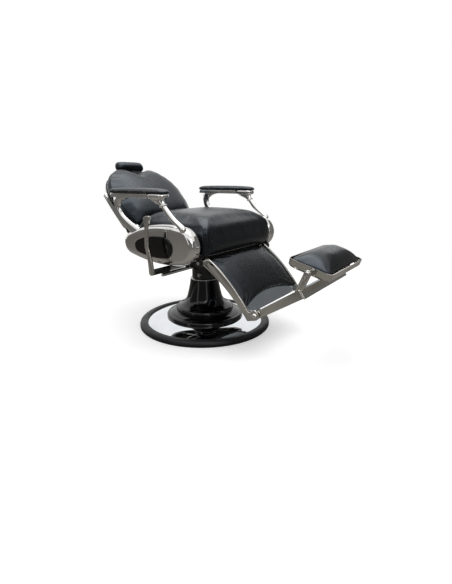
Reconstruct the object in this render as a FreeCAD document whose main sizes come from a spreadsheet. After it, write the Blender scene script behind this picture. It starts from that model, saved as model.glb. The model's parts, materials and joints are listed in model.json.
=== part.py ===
import FreeCAD, Part
import math
import os
from types import SimpleNamespace

import Sketcher
from FreeCAD import Placement, Rotation, Vector

# Barber chair, reclined, millimetres.
# Origin on the floor under the column, +Z up, the sitter faces -Y and has +X on the left.

doc = FreeCAD.newDocument("BarberChair")
sheet = doc.addObject("Spreadsheet::Sheet", "Sizes")

driving_sizes = {
    # clearances
    "seat_gap": 0.3,
    "running_gap": 0.05,
    # base
    "base_radius": 340,
    "ring_width": 40,
    "ring_height": 30,
    "plate_thickness": 14,
    "disc_rim_height": 22,
    "disc_top_height": 46,
    "disc_thickness": 4,
    "disc_flat_radius": 206,
    "hub_height": 40,
    "skirt_radius": 199,
    "skirt_height": 30,
    "bell_foot_radius": 148,
    "bell_neck_radius": 90,
    "bell_top_radius": 72,
    "bell_neck_height": 74,
    "bell_height": 165,
    "bell_wall": 4,
    "collar_height": 6,
    "cylinder_radius": 46,
    "cylinder_height": 215,
    "bolt_circle_radius": 66,
    "bolt_radius": 5,
    # column
    "sleeve_radius": 63,
    "sleeve_wall": 4,
    "sleeve_length": 250,
    "column_exposed": 82,
    "head_height": 16,
    "bearing_height": 8,
    "ram_radius": 30,
    "ram_length": 320,
    "spigot_radius": 20,
    "spigot_height": 24,
    "hub_radius": 85,
    "swivel_hub_height": 22,
    "pump_lever_radius": 8.5,
    "pump_lever_length": 216,
    "pump_pin_radius": 4,
    "pump_pivot_reach": 20,
    "pump_drop": 33,
    # seat frame
    "side_plate_x": 276,
    "side_plate_thickness": 8,
    "frame_front": 150,
    "frame_rear": 165,
    "frame_sheet": 6,
    "frame_depth": 26,
    "board_thickness": 12,
    "cushion_height": 170,
    "cushion_half_width": 272,
    "cushion_front": 236,
    "cushion_rear": 198,
    "hinge_pin_radius": 8,
    # side shells
    "shell_front_y": 139,
    "shell_rear_y": 150,
    "shell_rise": 85,
    "shell_rear_drop": 8,
    "shell_front_radius": 82,
    "shell_rear_radius": 52,
    "shell_depth": 60,
    "shell_wall": 3,
    "shell_round": 26,
    "shell_inner_round": 18,
    "inlay_thickness": 4,
    "inlay_share": 0.55,
    "inlay_shift": 14,
    "inlay_drop": 9,
    # arms
    "arm_height": 278,
    "arm_length": 356,
    "arm_rear_y": 277,
    "arm_rear_x": 319,
    "arm_splay": 2.4,
    "rail_width": 44,
    "rail_depth": 19,
    "cap_length": 100,
    "cap_width": 58,
    "cap_depth": 21,
    "pad_half_width": 31,
    "pad_thickness": 18,
    "post_thickness": 26,
    "post_ring": 4.5,
    "post_flare": 72,
    "front_post_x": 334,
    "rear_post_x": 326,
    # recline lever
    "lever_x": 400,
    "lever_y": 38,
    "lever_drop": 24,
    "lever_height": 236,
    "lever_thickness": 11,
    "shaft_radius": 7,
    "shaft_length": 290,
    "hanger_spacing": 72,
    "sleeve_grip_radius": 13,
    "sleeve_grip_length": 96,
    "spring_radius": 10,
    "spring_wire": 1.8,
    "spring_pitch": 8,
    "spring_length": 96,
    # back
    "back_hinge_y": 222,
    "back_hinge_rise": 129,
    "recline_angle": 42,
    "back_width": 257,
    "back_height": 392,
    "back_depth": 42,
    "back_crown": 24,
    "back_board_thickness": 10,
    "back_cover_depth": 13,
    "back_arm_inset": 30,
    "back_arm_thickness": 8,
    "trim_width": 6,
    "crank_drop": 153,
    "crank_x": 112,
    "crank_pin_radius": 7,
    "back_swing": 35,
    # headrest
    "headrest_half_width": 92,
    "headrest_height": 48,
    "headrest_depth": 48,
    "headrest_bar_width": 40,
    "headrest_bar_thickness": 6,
    "headrest_bar_length": 180,
    "headrest_gap": -6,
    "headrest_forward": -27,
    "socket_length": 96,
    # leg rest
    "leg_hinge_y": 196,
    "leg_hinge_rise": 16,
    "leg_angle": 37.7,
    "leg_rail_thickness": 10,
    "leg_rail_inset": 36,
    "leg_panel_length": 292,
    "leg_panel_thickness": 4,
    "leg_pad_thickness": 12,
    "leg_pad_rise": 40,
    "leg_pad_short": 20,
    "foot_hinge_reach": 322,
    "foot_hinge_radius": 8,
    # footrest
    "foot_arm_angle": 36.5,
    "foot_arm_length": 231,
    "foot_arm_width": 33,
    "foot_arm_thickness": 10,
    "foot_bracket_width": 28,
    "foot_pivot_reach": 290,
    "foot_pivot_rise": 40.5,
    "foot_pivot_radius": 7,
    "tray_angle": 15,
    "tray_half_width": 188,
    "tray_half_length": 92,
    "tray_depth": 36,
    "tray_rise": 19,
    "tray_shift": 13,
    "tray_wall": 3,
    "foot_pad_crown": 18,
}


class Size:
    """A number together with the sheet expression that gives it."""

    def __init__(self, value, text):
        self.value = float(value)
        self.text = text

    def __float__(self):
        return self.value

    def __add__(self, other):
        other = as_size(other)
        return Size(self.value + other.value, f"({self.text} + {other.text})")

    def __sub__(self, other):
        other = as_size(other)
        return Size(self.value - other.value, f"({self.text} - {other.text})")

    def __mul__(self, other):
        other = as_size(other)
        return Size(self.value * other.value, f"({self.text} * {other.text})")

    def __truediv__(self, other):
        other = as_size(other)
        return Size(self.value / other.value, f"({self.text} / {other.text})")

    def __neg__(self):
        return Size(-self.value, f"(0 - {self.text})")

    def __radd__(self, other):
        return as_size(other) + self

    def __rsub__(self, other):
        return as_size(other) - self

    def __rmul__(self, other):
        return as_size(other) * self


def as_size(number):
    if isinstance(number, Size):
        return number
    return Size(number, f"({float(number)})")


def fill_sheet():
    named = {}
    for row, (name, value) in enumerate(driving_sizes.items(), 1):
        sheet.set(f"A{row}", name)
        sheet.set(f"B{row}", str(value))
        sheet.setAlias(f"B{row}", name)
    doc.recompute()
    for name in driving_sizes:
        named[name] = Size(sheet.get(name), f"Sizes.{name}")
    return SimpleNamespace(**named)


d = fill_sheet()
sides = {"right": -1, "left": 1}
nodes = []


# Drawing helpers

def keep(piece, label):
    piece.Label = label
    nodes.append(piece)
    return piece


def bind(piece, **values):
    for name, value in values.items():
        size = as_size(value)
        piece.setExpression(name, size.text)


def frame_at(y=0, z=0, x=0, tilt=0):
    return Placement(Vector(float(x), float(y), float(z)), Rotation(Vector(1, 0, 0), float(tilt)))


def new_body(name, frame=None):
    body = doc.addObject("PartDesign::Body", name)
    body.Placement = frame or Placement()
    return body


def new_sketch(body, role, lift=0):
    plane = next(item for item in body.Origin.OriginFeatures if item.Role == role)
    sketch = body.newObject("Sketcher::SketchObject", f"{body.Name}_outline")
    sketch.AttachmentSupport = [(plane, "")]
    sketch.MapMode = "FlatFace"
    sketch.AttachmentOffset = Placement(Vector(0, 0, float(lift)), Rotation())
    if isinstance(lift, Size):
        sketch.setExpression("AttachmentOffset.Base.z", lift.text)
    return sketch


def constrain(sketch, kind, *where, value):
    size = as_size(value)
    index = sketch.addConstraint(Sketcher.Constraint(kind, *where, size.value))
    sketch.setExpression(f"Constraints[{index}]", size.text)


def arc_between(start, end, rise):
    """The arc whose middle stands off the chord by the rise, kept counter-clockwise."""
    run = end - start
    left = Vector(-run.y, run.x, 0).normalize()
    radius = run.Length ** 2 / (8 * abs(rise)) + abs(rise) / 2
    centre = (start + end) * 0.5 + left * (rise - math.copysign(radius, rise))
    first, last = (start, end) if rise < 0 else (end, start)
    begin = math.atan2(first.y - centre.y, first.x - centre.x)
    finish = math.atan2(last.y - centre.y, last.x - centre.x)
    if finish < begin:
        finish += 2 * math.pi
    return Part.ArcOfCircle(Part.Circle(centre, Vector(0, 0, 1), radius), begin, finish)


def draw_outline(sketch, path):
    """Close an outline through the path's points. A third number is the rise of the arc to the next
    point, positive to the left of the run."""
    first = sketch.GeometryCount
    ends = []
    for number, corner in enumerate(path):
        following = path[(number + 1) % len(path)]
        start = Vector(float(corner[0]), float(corner[1]), 0)
        end = Vector(float(following[0]), float(following[1]), 0)
        if len(corner) == 2:
            sketch.addGeometry(Part.LineSegment(start, end), False)
            ends.append((1, 2))
            continue
        rise = float(corner[2])
        sketch.addGeometry(arc_between(start, end, rise), False)
        ends.append((1, 2) if rise < 0 else (2, 1))
    for number, corner in enumerate(path):
        curve = first + number
        following = (number + 1) % len(path)
        constrain(sketch, "DistanceX", -1, 1, curve, ends[number][0], value=corner[0])
        constrain(sketch, "DistanceY", -1, 1, curve, ends[number][0], value=corner[1])
        sketch.addConstraint(Sketcher.Constraint(
            "Coincident", curve, ends[number][1], first + following, ends[following][0]))
        if len(corner) == 3:
            across = as_size(path[following][0]) - corner[0]
            along = as_size(path[following][1]) - corner[1]
            rise = as_size(corner[2]) if float(corner[2]) > 0 else -as_size(corner[2])
            radius = (across * across + along * along) / (8 * rise) + rise * 0.5
            constrain(sketch, "Radius", curve, value=radius)


def draw_circle(sketch, x, y, radius):
    circle = Part.Circle(Vector(float(x), float(y), 0), Vector(0, 0, 1), float(radius))
    index = sketch.addGeometry(circle, False)
    constrain(sketch, "DistanceX", -1, 1, index, 3, value=x)
    constrain(sketch, "DistanceY", -1, 1, index, 3, value=y)
    constrain(sketch, "Radius", index, value=radius)


def pad(body, sketch, length, symmetric=True, backwards=False):
    feature = body.newObject("PartDesign::Pad", f"{body.Name}_pad")
    feature.Profile = sketch
    feature.SideType = "Symmetric" if symmetric else "One side"
    feature.Reversed = backwards
    bind(feature, Length=length)
    doc.recompute()
    return feature


def pocket_through(body, sketch):
    before = body.Shape.Volume
    feature = body.newObject("PartDesign::Pocket", f"{body.Name}_pocket")
    feature.Profile = sketch
    feature.SideType = "Symmetric"
    feature.Type = "ThroughAll"
    doc.recompute()
    if body.Shape.Volume >= before:
        raise RuntimeError(f"the pocket in {body.Name} cuts nothing")
    return feature


def revolve(name, path, frame=None):
    body = new_body(name, frame)
    sketch = new_sketch(body, "XZ_Plane")
    draw_outline(sketch, path)
    feature = body.newObject("PartDesign::Revolution", f"{name}_turned")
    feature.Profile = sketch
    feature.ReferenceAxis = (sketch, ["V_Axis"])
    feature.Angle = 360
    doc.recompute()
    return body


def plate(name, path, thickness, frame, bores=(), ears=()):
    """A flat plate drawn in its side view, with round ears added and bores cut."""
    body = new_body(name, frame)
    sketch = new_sketch(body, "YZ_Plane")
    draw_outline(sketch, path)
    pad(body, sketch, thickness)
    for ear in ears:
        sketch = new_sketch(body, "YZ_Plane")
        draw_circle(sketch, *ear)
        pad(body, sketch, thickness)
    for bore in bores:
        sketch = new_sketch(body, "YZ_Plane")
        draw_circle(sketch, *bore)
        pocket_through(body, sketch)
    return body


def cylinder(name, radius, length, frame, along):
    turns = {"x": Rotation(Vector(0, 1, 0), 90), "y": Rotation(Vector(1, 0, 0), -90), "z": Rotation()}
    piece = doc.addObject("Part::Cylinder", name)
    bind(piece, Radius=radius, Height=length)
    piece.Placement = frame.multiply(Placement(Vector(), turns[along]))
    return piece


def group(label, members):
    compound = doc.addObject("Part::Compound", label)
    compound.Links = members
    return keep(compound, label)


def cut(label, base, tool):
    piece = doc.addObject("Part::Cut", label)
    piece.Base = base
    piece.Tool = tool
    return piece


def fuse(label, members):
    piece = doc.addObject("Part::MultiFuse", label)
    piece.Shapes = members
    return piece


def formed(label, shape, frame=None):
    """A sub-part whose form no sketch gives."""
    piece = doc.addObject("Part::Feature", label)
    piece.Shape = shape
    piece.Placement = frame or Placement()
    return piece


def wire_through(points, bulges):
    """A closed wire; a bulge is the middle point of the arc that leaves the same corner, or None."""
    edges = []
    for number, start in enumerate(points):
        end = points[(number + 1) % len(points)]
        middle = bulges[number]
        edges.append(Part.makeLine(start, end) if middle is None else Part.Arc(start, middle, end).toShape())
    return Part.Wire(edges)


def rounded_rectangle(x0, x1, y0, y1, radius, z):
    radius = min(radius, 0.45 * (x1 - x0), 0.45 * (y1 - y0))
    chamfer = radius * (1 - math.sqrt(0.5))
    points = []
    bulges = []
    corners = [(x1, y0, -1, 1), (x1, y1, -1, -1), (x0, y1, 1, -1), (x0, y0, 1, 1)]
    for number, (x, y, inward_x, inward_y) in enumerate(corners):
        along_x = Vector(x + inward_x * radius, y, z)
        along_y = Vector(x, y + inward_y * radius, z)
        points += [along_x, along_y] if number % 2 == 0 else [along_y, along_x]
        bulges += [Vector(x + inward_x * chamfer, y + inward_y * chamfer, z), None]
    return wire_through(points, bulges)


def loft(wires):
    return Part.makeLoft(wires, True, True)


# Heights and places that several pieces share

plate_radius = d.base_radius - d.ring_width - d.seat_gap
skirt_bottom = d.disc_top_height + d.seat_gap
bell_bottom = skirt_bottom + d.skirt_height + d.seat_gap
bell_top = bell_bottom + d.bell_height
collar_top = bell_top + d.seat_gap + d.collar_height
sleeve_top = collar_top + d.column_exposed
head_top = sleeve_top + d.head_height
head_face = head_top - d.seat_gap
hub_bottom = head_top + d.bearing_height + d.seat_gap
frame_bottom = hub_bottom + d.swivel_hub_height
board_bottom = frame_bottom + d.frame_depth + d.seat_gap
cushion_bottom = board_bottom + d.board_thickness + d.seat_gap
flange_top = d.hub_height + d.seat_gap + 8
bearing_radius = d.sleeve_radius - 6
shaft_z = frame_bottom - d.lever_drop

plate_x = d.side_plate_x + d.side_plate_thickness * 0.5
shell_x = d.side_plate_x + d.side_plate_thickness + d.seat_gap
shell_z = frame_bottom + d.shell_rise
back_hinge_z = frame_bottom + d.back_hinge_rise
leg_hinge_z = frame_bottom + d.leg_hinge_rise
arm_z = frame_bottom + d.arm_height
leg_rail_x = d.side_plate_x - d.leg_rail_inset - d.leg_rail_thickness * 0.5
back_arm_x = d.side_plate_x - d.back_arm_inset - d.back_arm_thickness * 0.5

back_frame = frame_at(d.back_hinge_y, back_hinge_z, 0, -d.recline_angle)
leg_frame = frame_at(-d.leg_hinge_y, leg_hinge_z, 0, d.leg_angle)
foot_hinge = leg_frame.multVec(Vector(0, -float(d.foot_hinge_reach), 0))
foot_frame = frame_at(foot_hinge.y, foot_hinge.z, 0, -d.foot_arm_angle)
foot_pivot = foot_frame.multVec(Vector(0, -float(d.foot_pivot_reach), float(d.foot_pivot_rise)))
tray_frame = frame_at(foot_pivot.y, foot_pivot.z, 0, d.tray_angle)


# Base

bolt_count = 6


def make_base_plate():
    bore = d.cylinder_radius + d.running_gap
    top = d.plate_thickness
    rim_top = d.disc_rim_height - d.disc_thickness - d.seat_gap
    hub_top = d.hub_height
    hub_radius = d.bolt_circle_radius + 19
    body = revolve("base_plate", [
        (bore, 0),
        (plate_radius, 0),
        (plate_radius, rim_top),
        (plate_radius - 14, rim_top),
        (plate_radius - 16, top),
        (hub_radius + 6, top),
        (hub_radius, hub_top),
        (bore, hub_top)])
    sketch = new_sketch(body, "XZ_Plane")
    rib_root = 2
    rib_thickness = 8
    draw_outline(sketch, [
        (hub_radius - rib_root, top - rib_root),
        (plate_radius - 20, top - rib_root),
        (hub_radius - rib_root, hub_top - 2 * rib_root)])
    rib = pad(body, sketch, rib_thickness)
    ribs = body.newObject("PartDesign::PolarPattern", "base_plate_ribs")
    ribs.Originals = [rib]
    ribs.Axis = (next(item for item in body.Origin.OriginFeatures if item.Role == "Z_Axis"), [""])
    ribs.Angle = 360
    ribs.Occurrences = bolt_count
    body.Tip = ribs
    doc.recompute()
    cut_bolt_holes(body, d.bolt_radius + d.seat_gap)
    keep(body, "base_plate")


def bolt_places():
    for number in range(bolt_count):
        angle = math.radians(30 + 360 / bolt_count * number)
        yield d.bolt_circle_radius * math.cos(angle), d.bolt_circle_radius * math.sin(angle)


def cut_bolt_holes(body, radius):
    sketch = new_sketch(body, "XY_Plane")
    for x, y in bolt_places():
        draw_circle(sketch, x, y, radius)
    pocket_through(body, sketch)


def make_base_covers():
    rim_z = d.disc_rim_height
    top_z = d.disc_top_height
    hole = d.bell_foot_radius - 18
    disc = revolve("base_disc", [
        (plate_radius, rim_z - d.disc_thickness),
        (plate_radius, rim_z, -5),
        (d.disc_flat_radius, top_z),
        (hole, top_z),
        (hole, top_z - d.disc_thickness),
        (d.disc_flat_radius, top_z - d.disc_thickness, 5)])
    keep(disc, "base_disc")
    inner = d.base_radius - d.ring_width
    ring = revolve("base_ring", [
        (inner, 0),
        (d.base_radius - 4, 0),
        (d.base_radius, 4),
        (d.base_radius, d.ring_height - 16, -5),
        (d.base_radius - 22, d.ring_height),
        (inner + 8, d.ring_height, -1),
        (inner, d.ring_height - 6)])
    keep(ring, "base_ring")
    skirt_top = skirt_bottom + d.skirt_height
    skirt = revolve("bell_skirt", [
        (hole, skirt_bottom),
        (d.skirt_radius, skirt_bottom),
        (d.skirt_radius, skirt_bottom + 5, -5),
        (d.skirt_radius - 16, skirt_top - 12, -1.5),
        (d.bell_foot_radius + 4, skirt_top - 2),
        (d.bell_foot_radius, skirt_top),
        (hole, skirt_top)])
    keep(skirt, "bell_skirt")
    shoulder = bell_bottom + 26
    neck = bell_bottom + d.bell_neck_height
    bell = revolve("bell_cover", [
        (d.bell_foot_radius, bell_bottom, -6),
        (d.bell_foot_radius - 10, shoulder, 9),
        (d.bell_neck_radius, neck, 1.5),
        (d.bell_top_radius, bell_top),
        (d.bell_top_radius - d.bell_wall, bell_top, -1.5),
        (d.bell_neck_radius - d.bell_wall, neck, -9),
        (d.bell_foot_radius - 10 - d.bell_wall, shoulder - d.bell_wall * 0.5, 6),
        (d.bell_foot_radius - d.bell_wall, bell_bottom)])
    keep(bell, "bell_cover")
    collar = revolve("bell_collar", [
        (d.sleeve_radius + 0.4, bell_top + d.seat_gap),
        (d.bell_top_radius, bell_top + d.seat_gap, -1.5),
        (d.bell_top_radius - 1, collar_top),
        (d.sleeve_radius + 0.4, collar_top)])
    keep(collar, "bell_collar")


def make_pump_cylinder():
    floor = 0
    top = d.cylinder_height
    wall = 8
    flange_bottom = d.hub_height + d.seat_gap
    flange_radius = d.bolt_circle_radius + 15
    body = revolve("pump_cylinder", [
        (0, floor),
        (d.cylinder_radius, floor),
        (d.cylinder_radius, flange_bottom),
        (flange_radius, flange_bottom),
        (flange_radius, flange_top),
        (d.cylinder_radius, flange_top),
        (d.cylinder_radius, top),
        (d.ram_radius + d.running_gap, top),
        (d.ram_radius + d.running_gap, top - 12),
        (d.cylinder_radius - wall, top - 12),
        (d.cylinder_radius - wall, floor + wall),
        (0, floor + wall)])
    cut_bolt_holes(body, d.bolt_radius + d.seat_gap)
    keep(body, "pump_cylinder")


def make_base_bolts():
    bolts = []
    shank = 24
    for number, (x, y) in enumerate(bolt_places(), 1):
        body = revolve(f"base_bolt_{number}", [
            (0, -shank),
            (d.bolt_radius, -shank),
            (d.bolt_radius, 0),
            (d.bolt_radius * 1.8, 0),
            (d.bolt_radius * 1.8, d.bolt_radius),
            (d.bolt_radius * 1.5, d.bolt_radius * 1.4),
            (0, d.bolt_radius * 1.4)], frame_at(y, flange_top, x))
        bolts.append(body)
    group("base_bolts", bolts)


# Column that lifts

def make_column():
    ram_bottom = head_top - d.ram_length
    ram = revolve("lift_ram", [
        (0, ram_bottom),
        (d.ram_radius, ram_bottom),
        (d.ram_radius, head_top),
        (d.spigot_radius, head_top),
        (d.spigot_radius, head_top + d.spigot_height),
        (0, head_top + d.spigot_height)])
    keep(ram, "lift_ram")
    sleeve_inner = d.sleeve_radius - d.sleeve_wall
    sleeve = revolve("column_sleeve", [
        (sleeve_inner, sleeve_top - d.sleeve_length),
        (d.sleeve_radius, sleeve_top - d.sleeve_length),
        (d.sleeve_radius, sleeve_top),
        (sleeve_inner, sleeve_top)])
    keep(sleeve, "column_sleeve")
    head = revolve("column_head", [
        (d.ram_radius + d.running_gap, sleeve_top),
        (d.sleeve_radius, sleeve_top),
        (d.sleeve_radius, head_face),
        (d.ram_radius + d.running_gap, head_face)])
    keep(head, "column_head")
    bearing = revolve("thrust_bearing", [
        (d.spigot_radius + 1, head_top),
        (bearing_radius, head_top),
        (bearing_radius, head_top + d.bearing_height),
        (d.spigot_radius + 1, head_top + d.bearing_height)])
    keep(bearing, "thrust_bearing")


pump_y = 8
pump_z = sleeve_top - d.pump_drop + 18
pump_x = -(d.sleeve_radius + d.pump_pivot_reach)
pump_eye = 11


def make_pump_lever():
    cheek = 16
    slot = d.pump_lever_radius + 1
    yoke = new_body("pump_yoke_blank", frame_at(pump_y, pump_z, pump_x))
    sketch = new_sketch(yoke, "XZ_Plane")
    reach = d.pump_pivot_reach + d.sleeve_radius * 0.1
    draw_outline(sketch, [(0, -13), (reach, -16), (reach, 16), (0, 13, -12)])
    pad(yoke, sketch, 2 * cheek)
    sketch = new_sketch(yoke, "XY_Plane")
    slot_end = d.pump_pivot_reach - 6
    slot_mouth = -(pump_eye + 9)
    draw_outline(sketch, [(slot_mouth, -slot), (slot_end, -slot), (slot_end, slot), (slot_mouth, slot)])
    pocket_through(yoke, sketch)
    sketch = new_sketch(yoke, "XZ_Plane")
    draw_circle(sketch, 0, 0, d.pump_pin_radius + d.running_gap)
    pocket_through(yoke, sketch)
    column = cylinder("pump_yoke_seat", d.sleeve_radius + d.running_gap, 80, frame_at(0, pump_z - 40), "z")
    fitted = cut("pump_yoke_fitted", yoke, column)
    pin_frame = frame_at(pump_y - cheek, pump_z, pump_x)
    pin = cylinder("pump_pin", d.pump_pin_radius, 2 * cheek, pin_frame, "y")
    group("pump_yoke", [fitted, pin])
    eye_frame = frame_at(pump_y - float(d.pump_lever_radius), pump_z, pump_x)
    eye = cylinder("pump_lever_eye", pump_eye, 2 * d.pump_lever_radius, eye_frame, "y")
    rod_frame = frame_at(pump_y, pump_z, pump_x - d.pump_lever_length + d.pump_lever_radius)
    rod_length = d.pump_lever_length - d.pump_lever_radius
    rod = cylinder("pump_lever_rod", d.pump_lever_radius, rod_length, rod_frame, "x")
    tip = doc.addObject("Part::Sphere", "pump_lever_tip")
    bind(tip, Radius=d.pump_lever_radius)
    tip.Placement = rod_frame
    lever = fuse("pump_lever_blank", [eye, rod, tip])
    bore_frame = frame_at(pump_y - cheek, pump_z, pump_x)
    bore = cylinder("pump_lever_bore", d.pump_pin_radius + d.running_gap, 2 * cheek, bore_frame, "y")
    keep(cut("pump_lever_bored", lever, bore), "pump_lever")


clamp_angle = 200
clamp_z = collar_top + 25


def make_clamp_screw():
    shank_radius = 5
    shank_length = 12
    ring_radius = 9
    wire = 3
    turn = Rotation(Vector(0, 0, 1), clamp_angle)
    start = float(d.sleeve_radius) + float(d.seat_gap)
    at = turn.multVec(Vector(start, 0, 0)) + Vector(0, 0, float(clamp_z))
    frame = Placement(at, turn)
    shank = cylinder("clamp_screw_shank", shank_radius, shank_length, frame, "x")
    collar = cylinder("clamp_screw_collar", shank_radius + 2, 4, frame.multiply(frame_at(0, 0, 1)), "x")
    eye = doc.addObject("Part::Torus", "clamp_screw_eye")
    bind(eye, Radius1=ring_radius, Radius2=wire)
    upright = Placement(Vector(shank_length + ring_radius - 1, 0, 0), Rotation(Vector(1, 0, 0), 90))
    eye.Placement = frame.multiply(upright)
    keep(fuse("clamp_screw_whole", [shank, collar, eye]), "clamp_screw")


# Seat frame

def make_swivel_hub():
    bore = d.spigot_radius + d.running_gap
    # a lip round the bearing stands on the column's head and turns it with the seat
    lip = bearing_radius + d.seat_gap
    hub = revolve("swivel_hub", [
        (bore, hub_bottom),
        (lip, hub_bottom),
        (lip, head_top),
        (d.sleeve_radius, head_top),
        (d.sleeve_radius, hub_bottom),
        (d.hub_radius, hub_bottom),
        (d.hub_radius, hub_bottom + 8),
        (d.hub_radius - 22, frame_bottom - 6),
        (d.hub_radius - 22, frame_bottom),
        (bore, frame_bottom)])
    keep(hub, "swivel_hub")


lug_thickness = 8
lock_z = back_hinge_z - d.crank_drop * (1 + math.cos(math.radians(float(d.back_swing) / 2))) * 0.5
lock_radius = 20
lock_front = -10
lock_length = 145


def make_seat_frame():
    body = new_body("seat_frame_blank", frame_at(0, frame_bottom))
    width = d.side_plate_x
    sketch = new_sketch(body, "XY_Plane")
    draw_outline(sketch, [
        (-width, -d.frame_front), (width, -d.frame_front), (width, d.frame_rear), (-width, d.frame_rear)])
    pad(body, sketch, d.frame_sheet, symmetric=False)
    wall = d.frame_sheet
    for y0, y1 in ((-d.frame_front, wall - d.frame_front), (d.frame_rear - wall, d.frame_rear)):
        sketch = new_sketch(body, "XY_Plane")
        draw_outline(sketch, [(-width, y0), (width, y0), (width, y1), (-width, y1)])
        pad(body, sketch, d.frame_depth, symmetric=False)
    for x0, x1 in ((-width, wall - width), (width - wall, width)):
        sketch = new_sketch(body, "XY_Plane")
        draw_outline(sketch, [
            (x0, -d.frame_front), (x1, -d.frame_front), (x1, d.frame_rear), (x0, d.frame_rear)])
        pad(body, sketch, d.frame_depth, symmetric=False)
    # lightening windows either side of the hub, and the spigot hole
    sketch = new_sketch(body, "XY_Plane")
    margin = 30
    front = margin - d.frame_front
    rear = d.frame_rear - margin
    for side in sides.values():
        near = side * (d.hub_radius + 70)
        far = side * (width - margin)
        corners = [(near, front), (far, front), (far, rear), (near, rear)]
        draw_outline(sketch, corners if side > 0 else corners[::-1])
    draw_circle(sketch, 0, 0, d.spigot_radius + 3)
    pocket_through(body, sketch)
    # two hangers that carry the lever shaft
    axis_y = -d.lever_y
    ear = d.shaft_radius * 2
    root = 1
    hanger = [
        (axis_y - ear, root),
        (axis_y - ear, -d.lever_drop, 0.1 - ear),
        (axis_y + ear, -d.lever_drop),
        (axis_y + ear, root)]
    shaft_end = 4
    for inward in (d.shaft_length - lug_thickness - shaft_end, d.shaft_length - d.hanger_spacing):
        sketch = new_sketch(body, "YZ_Plane", inward - d.lever_x)
        draw_outline(sketch, hanger)
        pad(body, sketch, lug_thickness, symmetric=False)
    # two saddles that hold the recline lock
    drop = frame_bottom - lock_z
    half = lock_radius + 6
    for y in (lock_front + 25, lock_front + lock_length - 25):
        sketch = new_sketch(body, "XZ_Plane", -y)
        draw_outline(sketch, [
            (half - d.crank_x, root),
            (-half - d.crank_x, root),
            (-half - d.crank_x, -drop, 0.1 - half),
            (half - d.crank_x, -drop)])
        pad(body, sketch, lug_thickness)
    hole_frame = frame_at(-d.lever_y, shaft_z, -d.lever_x)
    hole_radius = d.shaft_radius + d.running_gap
    shaft_hole = cylinder("seat_frame_shaft_hole", hole_radius, d.shaft_length * 1.1, hole_frame, "x")
    hole_frame = frame_at(lock_front, lock_z, -d.crank_x)
    hole_radius = lock_radius + d.running_gap
    lock_hole = cylinder("seat_frame_lock_hole", hole_radius, lock_length, hole_frame, "y")
    holes = fuse("seat_frame_holes", [shaft_hole, lock_hole])
    keep(cut("seat_frame_bored", body, holes), "seat_frame")


def make_side_plates():
    ear = 24
    top = shell_z + 10
    bottom = frame_bottom + d.frame_sheet
    for name, side in sides.items():
        frame = frame_at(0, 0, side * plate_x)
        path = [
            (-d.leg_hinge_y, leg_hinge_z - 18),
            (-d.frame_front, bottom),
            (d.back_hinge_y - 62, bottom),
            (d.back_hinge_y + 16, back_hinge_z - 17),
            (d.back_hinge_y - 16, back_hinge_z + 17),
            (d.back_hinge_y - 92, top),
            (30 - d.frame_front, top),
            (-d.leg_hinge_y, leg_hinge_z + 18)]
        ears = [(d.back_hinge_y, back_hinge_z, ear), (-d.leg_hinge_y, leg_hinge_z, ear - 2)]
        bore = d.hinge_pin_radius + d.running_gap
        bores = [(d.back_hinge_y, back_hinge_z, bore), (-d.leg_hinge_y, leg_hinge_z, bore)]
        side_plate = plate(f"side_plate_{name}", path, d.side_plate_thickness, frame, bores, ears)
        keep(side_plate, f"side_plate_{name}")


def make_hinge_pins():
    def pins(label, y, z, inner_x, shoulder_start):
        members = []
        for name, side in sides.items():
            collar = d.hinge_pin_radius + 5
            length = d.side_plate_x + d.side_plate_thickness - inner_x
            shoulder_end = d.side_plate_x - d.seat_gap - inner_x
            start = Vector(side * float(inner_x), float(y), float(z))
            frame = Placement(start, Rotation(Vector(0, 1, 0), side * 90))
            members.append(revolve(f"{label}_{name}", [
                (0, 0),
                (d.hinge_pin_radius, 0),
                (d.hinge_pin_radius, shoulder_start),
                (collar, shoulder_start),
                (collar, shoulder_end),
                (d.hinge_pin_radius, shoulder_end),
                (d.hinge_pin_radius, length),
                (0, length)], frame))
        group(label, members)
    arm_inner = back_arm_x - d.back_arm_thickness * 0.5
    rail_inner = leg_rail_x - d.leg_rail_thickness * 0.5
    pins("back_hinge_pins", d.back_hinge_y, back_hinge_z, arm_inner, d.back_arm_thickness + d.seat_gap)
    pins("leg_hinge_pins", -d.leg_hinge_y, leg_hinge_z, rail_inner, d.leg_rail_thickness + d.seat_gap)


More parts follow.
